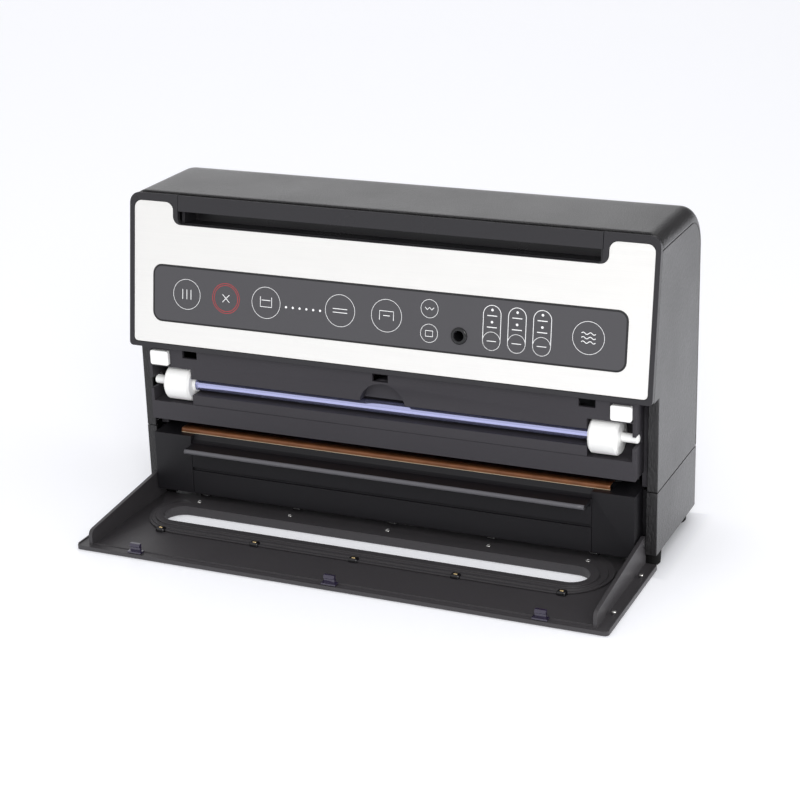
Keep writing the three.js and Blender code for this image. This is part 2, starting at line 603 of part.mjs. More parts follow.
// White end plug: sleeve on the rod, drum, and a forked journal pin.
function holderPlug() {
  const bore = ROLLER.rod + GAP;
  const profile = [
    [bore, ROLLER.plugIn - 2], [bore + 0.9, ROLLER.plugIn - 2], [bore + 1, ROLLER.plugIn],
    [ROLLER.plugRadius - 1.6, ROLLER.plugIn],
    [ROLLER.plugRadius, ROLLER.plugIn + 1.6], [ROLLER.plugRadius, ROLLER.plugOut - 1.6],
    [ROLLER.plugRadius - 1.6, ROLLER.plugOut], [3.3, ROLLER.plugOut], [3.3, ROLLER.tip - 0.8],
    [2.5, ROLLER.tip], [0, ROLLER.tip], [0, ROLLER.plugIn + 6], [bore, ROLLER.plugIn + 6],
    [bore, ROLLER.plugIn - 2],
  ];
  const geometry = new THREE.LatheGeometry(profile.map(([r, h]) => new THREE.Vector2(r, h)), 24);
  geometry.rotateZ(-Math.PI / 2);
  geometry.translate(0, ROLLER.y, ROLLER.z);
  const fork = box(
    ROLLER.tip - 5, ROLLER.tip + 1, ROLLER.y - 0.7, ROLLER.y + 0.7, ROLLER.z - 5, ROLLER.z + 5,
  );
  return cut(solidOf(geometry), fork);
}

pair('holder_plug', holderPlug(), WHITE, 0.45);

// Push blocks above the journal pins, each with a stem behind its face.
function releaseBlock() {
  const face = prismY(evenRect(170, 185, 112, 123, 1.6), 2.2, 10);
  return join(face, box(174, 182, 9, 14, 114, 121));
}

pair('release_block', releaseBlock(), WHITE, 0.45);

// ---------------------------------------------------------------- door

function stadium(half, radius, y = SLOT.y) {
  return evenRect(-half, half, y - radius, y + radius, radius);
}

function doorWall() {
  const profile = new THREE.Shape();
  profile.moveTo(-89, DOOR.out + 1);
  profile.lineTo(HINGE.y + 3.5, DOOR.out + 1);
  profile.lineTo(HINGE.y + 3.5, HINGE.z - 4);
  profile.lineTo(HINGE.y, HINGE.z + 6);
  profile.lineTo(-84, 15);
  profile.quadraticCurveTo(-89, 14.5, -89, 10);
  const plate = prismX(profile, DOOR_WALL.inner, DOOR_WALL.outer);
  const eye = rodX(6, DOOR_WALL.inner, DOOR_WALL.outer, HINGE.y, HINGE.z, 24);
  return cut(join(plate, eye), rodX(2.4, DOOR_WALL.inner - 1, DOOR_WALL.outer + 1, HINGE.y, HINGE.z, 16));
}

function doorPanel() {
  const sheet = prismZ(evenRect(-DOOR.half, DOOR.half, DOOR.free, DOOR.back, 3), DOOR.out, DOOR.skin, 2);
  const rim = box(DOOR.half - 1.2, DOOR.half, DOOR.free + 3, DOOR.back - 3, DOOR.skin - 0.5, DOOR.skin + 0.8);
  const frontRidge = box(-DOOR_WALL.inner, DOOR_WALL.inner, -86.6, -85.6, DOOR.skin - 0.5, DOOR.skin + 0.7);
  const stud = (y) => rodZ(1.6, DOOR.skin - 0.5, DOOR.skin + 1.6, 195.6, y, 12);
  const wall = doorWall();
  const right = join(wall, rim, stud(-5.6), stud(-65.8));
  const slotHole = prismZ(stadium(170, 20.8), -1, 10, 5);
  return cut(join(sheet, right, mirrored(right), frontRidge), slotHole);
}

// Stadium-shaped insert that lines the bag slot, clipped into the door from inside.
function slotFrame() {
  const outer = prismZ(stadium(169.6, 20.4), DOOR.out, DOOR.skin + 0.8, 5);
  const flangePlan = stadium(SLOT_FLANGE.half, SLOT_FLANGE.radius, SLOT_FLANGE.y);
  const flange = prismZ(flangePlan, DOOR.skin + GAP, 5, 5);
  const step = prismZ(stadium(175.5, 28, -19.7), 4.5, 5.9, 5);
  const rim = prismZ(stadium(171, 20.3, -23.4), 4.5, 7.4, 5);
  return cut(join(outer, flange, step, rim), prismZ(stadium(SLOT.half, SLOT.radius), -1, 10, 5));
}

// Snap hook that enters a latch slot when the door is shut.
function doorHook(x) {
  const y = -88.6;
  const stem = box(x - 4, x + 4, y - 1.1, y + 1.1, DOOR.skin + GAP, 10.5);
  const pad = box(x - 5.5, x + 5.5, y - 3.2, y + 1.8, DOOR.skin + GAP, DOOR.skin + 1.5);
  const nose = prismX([[y - 1, 7.6], [y - 2, 8.4], [y - 1.6, 9.6], [y - 1, 10.5]], x - 4, x + 4);
  return join(stem, pad, nose);
}

piece('door_panel', doorPanel(), SMOOTH_BLACK, 0.4);
piece('door_slot_frame', slotFrame(), SMOOTH_BLACK, 0.45);
['left', 'centre', 'right'].forEach((place, n) => {
  piece(`door_hook_${place}`, doorHook(latchSlots[n]), 0x8d8fb5, 0.3);
});
pair('hinge_pin', rodX(2, 177, GROOVE_OUT - 0.4, HINGE.y, HINGE.z, 16), 0xb8bbbf, 0.3, 1);

// ---------------------------------------------------------------- inside the casing

const DECK_Z = 62.5; // top of the chassis plate that carries the pump

function chassisPlate() {
  const plate = box(-190, 190, 48, 116, DECK_Z - 2.5, DECK_Z);
  const openings = [box(-120, -60, 70, 110, 50, 70), box(60, 120, 70, 110, 50, 70)];
  return cut(plate, ...openings);
}

const PUMP = { y: 84, z: 92, motorHalf: 34 };

function pumpHead() {
  const side = evenRect(PUMP.y - 24, PUMP.y + 24, DECK_Z + GAP, DECK_Z + 58, 4);
  const block = prismX(side, PUMP.motorHalf + GAP, 66);
  const spout = rodZ(2.6, DECK_Z + 57, DECK_Z + 70, 50, PUMP.y - 12, 12);
  return join(block, spout);
}

const VALVE = { x: -80, y: 59 };

// Rubber hose from the left pump head down to the vent valve.
function vacuumHose() {
  const route = new THREE.CatmullRomCurve3([
    new THREE.Vector3(-50, PUMP.y - 12, DECK_Z + 70.3), new THREE.Vector3(-50, PUMP.y - 12.4, DECK_Z + 82),
    new THREE.Vector3(-62, PUMP.y - 18, DECK_Z + 92), new THREE.Vector3(-77, PUMP.y - 24, DECK_Z + 80),
    new THREE.Vector3(VALVE.x, VALVE.y, DECK_Z + 56), new THREE.Vector3(VALVE.x, VALVE.y, DECK_Z + 36.3),
  ]);
  const section = new THREE.Shape();
  section.absarc(0, 0, 3, 0, 2 * Math.PI);
  return solidOf(new THREE.ExtrudeGeometry(section, {
    steps: 24, curveSegments: 4, bevelEnabled: false, extrudePath: route,
  }));
}

function solenoidValve() {
  const block = box(VALVE.x - 10, VALVE.x + 10, VALVE.y - 8.5, VALVE.y + 8.5, DECK_Z + GAP, DECK_Z + 22);
  const coil = rodZ(6.5, DECK_Z + 21, DECK_Z + 30, VALVE.x, VALVE.y, 16);
  const spout = rodZ(2.4, DECK_Z + 29, DECK_Z + 36, VALVE.x, VALVE.y, 10);
  return join(block, coil, spout);
}

const chip = (x, up, w, h) => prismPanel(
    evenRect(x - w / 2, x + w / 2, up - h / 2, up + h / 2, 0.5), -10, -8.9, 1,
  );
const BOARD_BACK = -9;

function controlBoard() {
  const board = prismPanel(evenRect(-148, 52, 24, 58, 2), BOARD_BACK, BOARD_BACK + 1.6, 2);
  return join(board, chip(-40, 41, 12, 12), chip(20, 40, 9, 6), chip(-110, 41, 7, 5));
}

function powerBoard() {
  const board = box(-60, 60, 74, 114, 18, 19.6);
  const relays = [[-40, 92], [-15, 92]].map(([x, y]) => box(x - 8, x + 8, y - 8, y + 8, 19.5, 34));
  const capacitor = rodZ(8, 19.5, 44, 36, 94, 18);
  const standoff = (x, y) => rodZ(2.5, FOOT_HEIGHT + WALL + GAP, 18.2, x, y, 10);
  const standoffs = [standoff(-55, 79), standoff(55, 79), standoff(-55, 109), standoff(55, 109)];
  return join(board, ...relays, capacitor, ...standoffs);
}

function transformer() {
  const low = FOOT_HEIGHT + WALL + GAP;
  const core = box(-134, -86, 80, 112, low, 55);
  const coil = prismX(evenRect(74, 118, 20, 49, 4), -124, -96);
  return join(core, coil);
}

piece('chassis_plate', chassisPlate(), 0x55585c, 0.6);
piece('pump_motor', rodX(21, -PUMP.motorHalf, PUMP.motorHalf, PUMP.y, PUMP.z, 28), 0xa7abb0, 0.35, 1);
pair('pump_head', pumpHead(), 0x2e3033, 0.6);
piece('vacuum_hose', vacuumHose(), 0x1a1a1a, 0.8);
piece('solenoid_valve', solenoidValve(), 0x3a4f8a, 0.5);
piece('control_board', controlBoard(), 0x1f5c35, 0.5);
piece('power_board', powerBoard(), 0x1f5c35, 0.5);
piece('transformer', transformer(), 0x7a6a3a, 0.5);

export default machine;
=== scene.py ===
import json
import math

import bmesh
import bpy
import numpy as np
from mathutils import Matrix, Vector


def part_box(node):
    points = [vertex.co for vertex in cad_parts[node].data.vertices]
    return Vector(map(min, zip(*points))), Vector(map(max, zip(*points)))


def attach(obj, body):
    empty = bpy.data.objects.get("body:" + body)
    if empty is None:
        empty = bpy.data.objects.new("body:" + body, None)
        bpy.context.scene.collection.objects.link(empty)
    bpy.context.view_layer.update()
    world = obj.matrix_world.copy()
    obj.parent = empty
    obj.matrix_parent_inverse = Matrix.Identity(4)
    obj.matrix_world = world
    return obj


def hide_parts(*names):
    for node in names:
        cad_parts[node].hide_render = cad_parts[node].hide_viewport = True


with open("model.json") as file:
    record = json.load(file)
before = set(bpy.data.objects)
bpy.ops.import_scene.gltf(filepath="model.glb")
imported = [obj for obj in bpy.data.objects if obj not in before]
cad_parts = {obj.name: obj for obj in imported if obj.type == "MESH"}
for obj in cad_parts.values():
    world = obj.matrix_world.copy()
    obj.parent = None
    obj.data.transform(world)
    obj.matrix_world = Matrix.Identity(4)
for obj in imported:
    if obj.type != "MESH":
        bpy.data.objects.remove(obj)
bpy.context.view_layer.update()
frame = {"nodes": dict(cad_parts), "record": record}
scene = bpy.context.scene

# ---------------------------------------------------------------------------------------
# Camera: a long lens on a tripod, in front of the machine and to its right, a little above
# it, rolled by a degree and a half.
# ---------------------------------------------------------------------------------------
azimuth, elevation, roll = (math.radians(a) for a in (24.15, 20.19, -1.72))
distance = 1.4367
target = Vector((0.008, 0.0058, 0.1008))
backwards = Vector((
    math.sin(azimuth) * math.cos(elevation),
    -math.cos(azimuth) * math.cos(elevation),
    math.sin(elevation),
))
level_right = Vector((0, 0, 1)).cross(backwards).normalized()
level_up = backwards.cross(level_right)
camera_right = math.cos(roll) * level_right + math.sin(roll) * level_up
camera_up = math.cos(roll) * level_up - math.sin(roll) * level_right
camera_data = bpy.data.cameras.new("camera")
camera_data.sensor_width = 36
camera_data.lens = 90.8
camera = bpy.data.objects.new("camera", camera_data)
camera.matrix_world = Matrix((
    (camera_right.x, camera_up.x, backwards.x, 0),
    (camera_right.y, camera_up.y, backwards.y, 0),
    (camera_right.z, camera_up.z, backwards.z, 0),
    (0, 0, 0, 1),
))
camera.location = target + distance * backwards
scene.collection.objects.link(camera)
scene.camera = camera
scene.view_settings.view_transform = "Standard"


# ---------------------------------------------------------------------------------------
# Studio: a white light table that fills the view, a white room with a dark flag behind the
# machine's right corner, one large soft box in front of it and a small one low on the right.
# ---------------------------------------------------------------------------------------
def linear(hex_colour):
    """An sRGB hex colour as linear RGBA, by the sRGB transfer curve."""
    parts = [int(hex_colour[i:i + 2], 16) / 255 for i in (1, 3, 5)]
    return [c / 12.92 if c <= 0.04045 else ((c + 0.055) / 1.055) ** 2.4 for c in parts] + [1.0]


def add(tree, kind, inputs=None, **settings):
    """Adds a shader node; inputs are socket values, or other nodes' outputs to link."""
    made = tree.nodes.new(kind)
    for key, value in settings.items():
        setattr(made, key, value)
    for key, value in (inputs or {}).items():
        socket = made.inputs[key]
        if isinstance(value, bpy.types.NodeSocket):
            tree.links.new(value, socket)
        else:
            socket.default_value = value
    return made


def start_material(name):
    """A material with one Principled shader, and its node tree."""
    material = bpy.data.materials.new(name)
    material.use_nodes = True
    tree = material.node_tree
    shader = next(n for n in tree.nodes if n.type == "BSDF_PRINCIPLED")
    return material, tree, shader


MM = 0.001


def mesh_object(name, points, faces, smooth=True):
    """A mesh object from points in millimetres; it stays at the origin, unturned."""
    mesh = bpy.data.meshes.new(name)
    mesh.from_pydata((np.asarray(points, float).reshape(-1, 3) * MM).tolist(), [], faces)
    mesh.validate()
    if smooth:
        mesh.shade_smooth()
    made = bpy.data.objects.new(name, mesh)
    scene.collection.objects.link(made)
    return made


def soft_box(name, place, aim, size, power):
    """A square area light at `place` metres, turned to look at `aim`."""
    data = bpy.data.lights.new(name, "AREA")
    data.size = size
    data.energy = power
    light = bpy.data.objects.new(name, data)
    light.location = place
    light.rotation_euler = (Vector(aim) - Vector(place)).to_track_quat("-Z", "Y").to_euler()
    scene.collection.objects.link(light)


table_half = 6000
table_corners = [(x, y, 0) for x, y in ((-1, -1), (1, -1), (1, 1), (-1, 1))]
floor = mesh_object("table_top", np.array(table_corners) * table_half, [(0, 1, 2, 3)])
floor_paint, floor_tree, floor_shader = start_material("white_laminate")
floor_shader.inputs["Roughness"].default_value = 0.55
floor_shader.inputs["Emission Color"].default_value = linear("#fbfbff")

# The table glows faintly from below, except under the machine. `outside` is how far a point
# lies from the middle of that rectangle, as a share of its half width or half depth.
covered_centre_y = 0.0485
covered_half_x, covered_half_y = 0.205, 0.0585
spot = add(floor_tree, "ShaderNodeTexCoord").outputs["Object"]
from_centre = add(floor_tree, "ShaderNodeVectorMath", {0: spot, 1: (0, -covered_centre_y, 0)},
                  operation="ADD").outputs[0]
share = add(floor_tree, "ShaderNodeVectorMath",
            {0: from_centre, 1: (1 / covered_half_x, 1 / covered_half_y, 0)}, operation="MULTIPLY")
share_parts = add(floor_tree, "ShaderNodeSeparateXYZ", {0: share.outputs[0]})
share_x = add(floor_tree, "ShaderNodeMath", {0: share_parts.outputs["X"]}, operation="ABSOLUTE")
share_y = add(floor_tree, "ShaderNodeMath", {0: share_parts.outputs["Y"]}, operation="ABSOLUTE")
outside = add(floor_tree, "ShaderNodeMath", {0: share_x.outputs[0], 1: share_y.outputs[0]},
              operation="MAXIMUM").outputs[0]
glow = add(floor_tree, "ShaderNodeMapRange", {
    "Value": outside, "From Min": 0.96, "From Max": 1.04, "To Min": 0.0, "To Max": 0.2})
floor_tree.links.new(glow.outputs["Result"], floor_shader.inputs["Emission Strength"])
# Well inside the rectangle the table's colour is a painted shadow, dark grey, so that no light comes
# up through the gaps.
outside_painted_shadow = add(floor_tree, "ShaderNodeMapRange", {"Value": outside, "From Min": 0.84, "From Max": 0.92})
table_colour_with_painted_shadow = add(floor_tree, "ShaderNodeMix", {
    "Factor": outside_painted_shadow.outputs["Result"], 6: linear("#2e2e30"), 7: linear("#ecedf0")}, data_type="RGBA")
floor_tree.links.new(table_colour_with_painted_shadow.outputs[2], floor_shader.inputs["Base Color"])
floor.data.materials.append(floor_paint)

# The room is an even white, with a dark flag that fades out around its own direction.
flag_direction = (0.40, 0.91, 0.12)
world = bpy.data.worlds.new("white_room")
world.use_nodes = True
room = world.node_tree
sky = room.nodes["Background"]
ray = add(room, "ShaderNodeTexCoord").outputs["Generated"]
towards_flag = add(room, "ShaderNodeVectorMath", {0: ray, 1: flag_direction},
                   operation="DOT_PRODUCT")
flag = add(room, "ShaderNodeMapRange", {
    "Value": towards_flag.outputs["Value"], "From Min": 0.75, "From Max": 0.92,
    "To Min": 0.93, "To Max": 0.12})
room.links.new(flag.outputs["Result"], sky.inputs["Strength"])
sky.inputs["Color"].default_value = linear("#fdfdff")
scene.world = world
soft_box("front_box", (1.0, -1.9, 1.25), (0, 0, 0.12), 1.1, 22)
soft_box("low_right_box", (0.75, 0.16, 0.02), (0.2, 0.05, 0.02), 0.3, 2.8)


# ---------------------------------------------------------------------------------------
# Finishes of moulded plastic. ABS and acetal come out of a spark-eroded or polished tool,
# which gives a fine pebble, a slightly uneven gloss and almost no colour variation.
# ---------------------------------------------------------------------------------------
def moulded(name, colour, roughness, grain_mm, relief_mm, coat=0.0, mottle=0.12, specular=0.5,
            streak=1.0):
    """Moulded plastic: a pebbled bump of a real size, drawn out by `streak` along Z."""
    material, tree, shader = start_material(name)
    place = add(tree, "ShaderNodeTexCoord").outputs["Object"]
    drawn = add(tree, "ShaderNodeVectorMath", {0: place, 1: (1, 1, 1 / streak)},
                operation="MULTIPLY").outputs[0]
    pebble = add(tree, "ShaderNodeTexVoronoi", {
        "Vector": drawn, "Scale": 1 / (grain_mm * MM), "Smoothness": 0.6}, feature="SMOOTH_F1")
    dust = add(tree, "ShaderNodeTexNoise", {
        "Vector": drawn, "Scale": 1 / (grain_mm * 0.8 * MM), "Detail": 4.0})
    cloud = add(tree, "ShaderNodeTexNoise", {
        "Vector": place, "Scale": 1 / (55 * MM), "Detail": 4.0})
    height = add(tree, "ShaderNodeMath", {0: pebble.outputs["Distance"], 1: dust.outputs["Fac"]},
                 operation="ADD")
    bump = add(tree, "ShaderNodeBump", {
        "Height": height.outputs[0], "Distance": relief_mm * MM, "Strength": 0.9})
    gloss = add(tree, "ShaderNodeMapRange", {
        "Value": cloud.outputs["Fac"], "From Min": 0.3, "From Max": 0.7,
        "To Min": roughness - 0.05, "To Max": roughness + 0.06})
    dark = [c * (1 - mottle) for c in linear(colour)[:3]] + [1.0]
    light = [min(1.0, c * (1 + mottle)) for c in linear(colour)[:3]] + [1.0]
    tint = add(tree, "ShaderNodeMix", {"Factor": dust.outputs["Fac"], 6: dark, 7: light},
               data_type="RGBA")
    tree.links.new(tint.outputs[2], shader.inputs["Base Color"])
    tree.links.new(gloss.outputs["Result"], shader.inputs["Roughness"])
    tree.links.new(bump.outputs["Normal"], shader.inputs["Normal"])
    shader.inputs["Specular IOR Level"].default_value = specular
    shader.inputs["Coat Weight"].default_value = coat
    shader.inputs["Coat Roughness"].default_value = roughness * 0.8
    shader.inputs["Coat IOR"].default_value = 1.35
    return material


# Charcoal ABS: leather-like grain about 1 mm across, drawn at 1.2 mm so that it still shows,
# and a little longer than wide. Its thin lacquer gives the sides their grey sheen.
charcoal_abs = moulded("charcoal_grained_abs", "#181718", 0.4, 1.2, 0.5, coat=0.78, mottle=0.9,
                       specular=0.3, streak=2.5)
# Semi-gloss black ABS from a polished tool: soft reflections along the rounded rim.
bezel_abs = moulded("black_semi_gloss_abs", "#262528", 0.3, 0.8, 0.01, specular=0.4)
# Matt dark ABS of the inner frame: even and dull, with a faint texture.
frame_abs = moulded("dark_matt_abs", "#363438", 0.5, 0.9, 0.03, specular=0.3)
# The lower frame and the tray: the same ABS, made darker as painted shade, since they sit back in the
# shade under the upper frame.
frame_abs_with_painted_shade = moulded("dark_matt_abs_painted_shade", "#171619", 0.45, 0.9, 0.03, specular=0.3)
# Satin black ABS of the door's inside: faint streaks where it filled the mould.
door_abs = moulded("black_satin_abs", "#393739", 0.4, 1.1, 0.02, specular=0.4)
# White acetal: bright, waxy, almost featureless.
white_acetal = moulded("white_acetal", "#f4f4f2", 0.32, 0.7, 0.006, mottle=0.01)
# Black nylon and grey ABS of hidden parts.
black_nylon = moulded("black_nylon", "#161618", 0.45, 0.8, 0.02)
grey_abs = moulded("grey_chassis_abs", "#595c60", 0.55, 0.8, 0.03)
valve_blue = moulded("blue_valve_nylon", "#2f4480", 0.45, 0.8, 0.02)
foot_rubber = moulded("black_moulded_rubber", "#070707", 0.8, 0.6, 0.03, specular=0.15)
foam_rubber = moulded("closed_cell_foam", "#1f1f21", 0.95, 0.5, 0.12)
silicone_red = moulded("red_silicone", "#7f2c22", 0.6, 0.6, 0.01)
board_green = moulded("green_solder_mask", "#1c5a33", 0.35, 0.4, 0.008, coat=0.3)
coil_lacquer = moulded("brown_winding_lacquer", "#6b5323", 0.3, 0.5, 0.05, coat=0.4)


# ---------------------------------------------------------------------------------------
# Finishes of metal: brushed stainless sheet, extruded aluminium, turned and plated steel.
# Brushing leaves fine scratches that all run one way, which stretches the reflections.
# ---------------------------------------------------------------------------------------
def brushed(name, colour, roughness, scratch_mm, length_mm, relief_mm):
    """Metal brushed along X: noise stretched to long thin scratches drives gloss and bump."""
    material, tree, shader = start_material(name)
    place = add(tree, "ShaderNodeTexCoord").outputs["Object"]
    stretch = add(tree, "ShaderNodeMapping", {"Vector": place, "Scale": (
        1 / (length_mm * MM), 1 / (scratch_mm * MM), 1 / (scratch_mm * MM))})
    scratches = add(tree, "ShaderNodeTexNoise", {
        "Vector": stretch.outputs[0], "Scale": 1.0, "Detail": 3.0})
    gloss = add(tree, "ShaderNodeMapRange", {
        "Value": scratches.outputs["Fac"], "From Min": 0.3, "From Max": 0.7,
        "To Min": roughness - 0.06, "To Max": roughness + 0.1})
    shade = [c * 0.93 for c in linear(colour)[:3]] + [1.0]
    tint = add(tree, "ShaderNodeMix", {
        "Factor": scratches.outputs["Fac"], 6: shade, 7: linear(colour)}, data_type="RGBA")
    bump = add(tree, "ShaderNodeBump", {
        "Height": scratches.outputs["Fac"], "Distance": relief_mm * MM, "Strength": 0.5})
    tree.links.new(tint.outputs[2], shader.inputs["Base Color"])
    tree.links.new(gloss.outputs["Result"], shader.inputs["Roughness"])
    tree.links.new(bump.outputs["Normal"], shader.inputs["Normal"])
    shader.inputs["Metallic"].default_value = 1.0
    return material


# Brushed stainless sheet: scratches 0.1 mm wide, drawn 0.35 mm wide so that the grain shows.
brushed_steel = brushed("brushed_stainless_sheet", "#fbfaf6", 0.34, 0.35, 45, 0.004)
extruded_aluminium = brushed("extruded_aluminium", "#c4c6c9", 0.35, 0.6, 60, 0.01)
plated_steel = brushed("zinc_plated_steel", "#c9cacc", 0.28, 0.4, 2, 0.005)


# ---------------------------------------------------------------------------------------
# Mouldings that keep their CAD shape: each is a merged copy of its node whose sharp edges
# get the small round that a mould gives them, and whose curved faces are shaded smooth.
# ---------------------------------------------------------------------------------------
def softened(node, edge_mm, material, segments=2, clamp=True):
    """A copy of a CAD node with its flat faces joined and its sharp edges rounded."""
    copy = bpy.data.objects.new(node + "_moulding", frame["nodes"][node].data.copy())
    scene.collection.objects.link(copy)
    work = bmesh.new()
    work.from_mesh(copy.data)
    bmesh.ops.remove_doubles(work, verts=work.verts, dist=0.004 * MM)
    bmesh.ops.dissolve_limit(work, angle_limit=math.radians(0.6), verts=work.verts, edges=work.edges)
    bmesh.ops.recalc_face_normals(work, faces=work.faces)
    work.to_mesh(copy.data)
    work.free()
    copy.data.materials.clear()
    copy.data.materials.append(material)
    copy.data.shade_smooth()
    copy.data.set_sharp_from_angle(angle=math.radians(35))
    if edge_mm:
        edge = copy.modifiers.new("edge_round", "BEVEL")
        edge.width = edge_mm * MM
        edge.segments = segments
        edge.limit_method = "ANGLE"
        edge.angle_limit = math.radians(38)
        edge.harden_normals = True
        edge.use_clamp_overlap = clamp
    body = next(b for b, nodes in frame["record"]["behaviour"]["bodies"].items() if node in nodes)
    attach(copy, body)
    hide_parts(node)
    return copy


for side in ("left", "right"):
    softened(f"side_cover_{side}", 0.8, charcoal_abs, segments=3)
softened("base_shell", 1.0, charcoal_abs, segments=3)
softened("front_bezel", 0.9, bezel_abs, segments=3)
softened("grip_insert", 0.5, bezel_abs)
softened("upper_frame", 0.35, frame_abs)
softened("lower_frame", 0.35, frame_abs_with_painted_shade)
softened("drip_tray", 0.35, frame_abs_with_painted_shade)
softened("door_panel", 0.6, door_abs, segments=3)


# ---------------------------------------------------------------------------------------
# Top and back cover: one grained ABS moulding that wraps from the panel over the big rear
# edge and down the back. Its sides roll over by 11 mm and stop at the seam with the flat
# side panels.
# ---------------------------------------------------------------------------------------
def grid_faces(rows, columns, close_rows=False, close_columns=False):
    """Quads between neighbours of a rows by columns grid, optionally joined end to end."""
    r = np.arange(rows if close_rows else rows - 1)[:, None]
    c = np.arange(columns if close_columns else columns - 1)[None, :]
    r2, c2 = (r + 1) % rows, (c + 1) % columns
    corner = [r * columns + c, r2 * columns + c, r2 * columns + c2, r * columns + c2]
    return np.stack([np.broadcast_to(k, (r.size, c.size)) for k in corner], -1).reshape(-1, 4).tolist()


def quarter(centre, radius, start, end, count):
    """Points of an arc in the plane, from angle `start` to angle `end` in degrees."""
    a = np.radians(np.linspace(start, end, count))
    return np.stack([centre[0] + radius * np.cos(a), centre[1] + radius * np.sin(a)], -1)


cover_low, cover_high = (np.array(v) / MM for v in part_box("top_back_cover"))
big_radius, edge_radius, shell = 33, 11, 2.6
lean = math.radians(8.3)
front_y = cover_low[1] + edge_radius * math.tan(lean)
top_run = np.stack([np.linspace(front_y, cover_high[1] - big_radius, 20),
                    np.full(20, cover_high[2])], -1)
bend = quarter((cover_high[1] - big_radius, cover_high[2] - big_radius), big_radius, 90, 0, 28)[1:-1]
back_run = np.stack([np.full(30, cover_high[1]),
                     np.linspace(cover_high[2] - big_radius, cover_low[2], 30)], -1)
path = np.concatenate([top_run, bend, back_run])
along = np.gradient(path, axis=0)
along /= np.linalg.norm(along, axis=1, keepdims=True)
inward = np.stack([along[:, 1], -along[:, 0]], -1)
roll_angle = np.linspace(90, 0, 12)
left_roll = np.stack([-cover_high[0] + edge_radius - edge_radius * np.sin(np.radians(roll_angle)),
                      edge_radius - edge_radius * np.cos(np.radians(roll_angle))], -1)
flat_run = np.stack([np.linspace(-cover_high[0] + edge_radius, cover_high[0] - edge_radius, 40)[1:-1],
                     np.zeros(38)], -1)
section = np.concatenate([left_roll, flat_run, left_roll[::-1] * [-1, 1]])
cover_points = np.empty((len(path), len(section), 3))
cover_points[..., 0] = section[None, :, 0]
cover_points[..., 1:] = path[:, None, :] + inward[:, None, :] * section[None, :, 1, None]
front_pull = np.linspace(1, 0, 20)[:, None] * section[None, :, 1] * math.tan(lean)
cover_points[:20, :, 1] -= front_pull
cover = mesh_object("top_back_cover_shell", cover_points[:, ::-1],
                    grid_faces(len(path), len(section)))
cover.data.materials.append(charcoal_abs)
wall = cover.modifiers.new("wall", "SOLIDIFY")
wall.thickness = shell * MM
wall.offset = -1
wall.use_even_offset = True
rim = cover.modifiers.new("rim", "BEVEL")
rim.width = 0.8 * MM
rim.segments = 3
rim.limit_method = "ANGLE"
rim.angle_limit = math.radians(60)
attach(cover, "casing")
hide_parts("top_back_cover")

# ---------------------------------------------------------------------------------------
# Control panel: a brushed stainless sheet with the printed polycarbonate film let into it.
# The film is satin, dark grey, with white line art and one red double ring.
# ---------------------------------------------------------------------------------------
softened("steel_panel", 0.15, brushed_steel, segments=1)
film, film_tree, film_shader = start_material("satin_printed_polycarbonate")
film_place = add(film_tree, "ShaderNodeTexCoord").outputs["Object"]
film_dust = add(film_tree, "ShaderNodeTexNoise", {
    "Vector": film_place, "Scale": 1 / (0.4 * MM), "Detail": 2.0})
film_bump = add(film_tree, "ShaderNodeBump", {
    "Height": film_dust.outputs["Fac"], "Distance": 0.01 * MM, "Strength": 0.5})
film_cloud = add(film_tree, "ShaderNodeTexNoise", {
    "Vector": film_place, "Scale": 1 / (70 * MM), "Detail": 2.0})
film_gloss = add(film_tree, "ShaderNodeMapRange", {
    "Value": film_cloud.outputs["Fac"], "To Min": 0.3, "To Max": 0.44})
film_shader.inputs["Base Color"].default_value = linear("#444346")
film_tree.links.new(film_gloss.outputs["Result"], film_shader.inputs["Roughness"])
film_tree.links.new(film_bump.outputs["Normal"], film_shader.inputs["Normal"])
softened("control_overlay", 0.15, film, segments=1)

# Panel coordinates: x across, and the height up the leaning panel from its lower edge.
overlay_low, overlay_high = (np.array(v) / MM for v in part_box("control_overlay"))
overlay_centre = (overlay_low + overlay_high) / 2
panel_up = np.array([0, math.sin(lean), math.cos(lean)])
panel_out = np.array([0, -math.cos(lean), math.sin(lean)])
half_film = 0.5
centre_height = 41.25


def on_panel(points, lift):
    """Panel coordinates (x, height up the panel) to space, `lift` mm in front of the film."""
    points = np.asarray(points, float)
    across = points[..., :1] * [1, 0, 0]
    up = (points[..., 1:2] - centre_height) * panel_up
    return overlay_centre + across + up + (half_film + lift) * panel_out


ink_points, ink_faces, ink_kinds = [], [], []


def ink_ribbon(line, width, closed=False, kind=0):
    """A flat printed line: each point of the line is moved half a width to either side."""
    line = np.asarray(line, float)
    before, after = np.roll(line, 1, 0), np.roll(line, -1, 0)
    if not closed:
        before[0], after[-1] = line[0], line[-1]
    heading = after - before
    heading /= np.linalg.norm(heading, axis=1, keepdims=True)
    sideways = np.stack([-heading[:, 1], heading[:, 0]], -1) * width / 2
    edges = np.stack([line + sideways, line - sideways], 1)
    start = sum(len(p) for p in ink_points)
    faces = grid_faces(len(line), 2, close_rows=closed)
    ink_points.append(on_panel(edges, 0.06).reshape(-1, 3))
    ink_faces.extend([start + i for i in face] for face in faces)
    ink_kinds.extend([kind] * len(faces))


def ink_ring(x, up, radius, width=0.3, kind=0):
    """A printed ring."""
    ink_ribbon(quarter((x, up), radius, 0, 352, 45), width, closed=True, kind=kind)


def ink_dot(x, up, radius, kind=0):
    """A printed dot, as a ring whose inner edge closes on the centre."""
    ink_ribbon(quarter((x, up), radius / 2, 0, 340, 18), radius, closed=True, kind=kind)


def ink_capsule(x, low, high, radius, width=0.38):
    """A printed outline with straight sides and round ends."""
    upper = quarter((x, high), radius, 0, 180, 20)
    lower = quarter((x, low), radius, 180, 360, 20)
    ink_ribbon(np.concatenate([upper, lower]), width, closed=True)


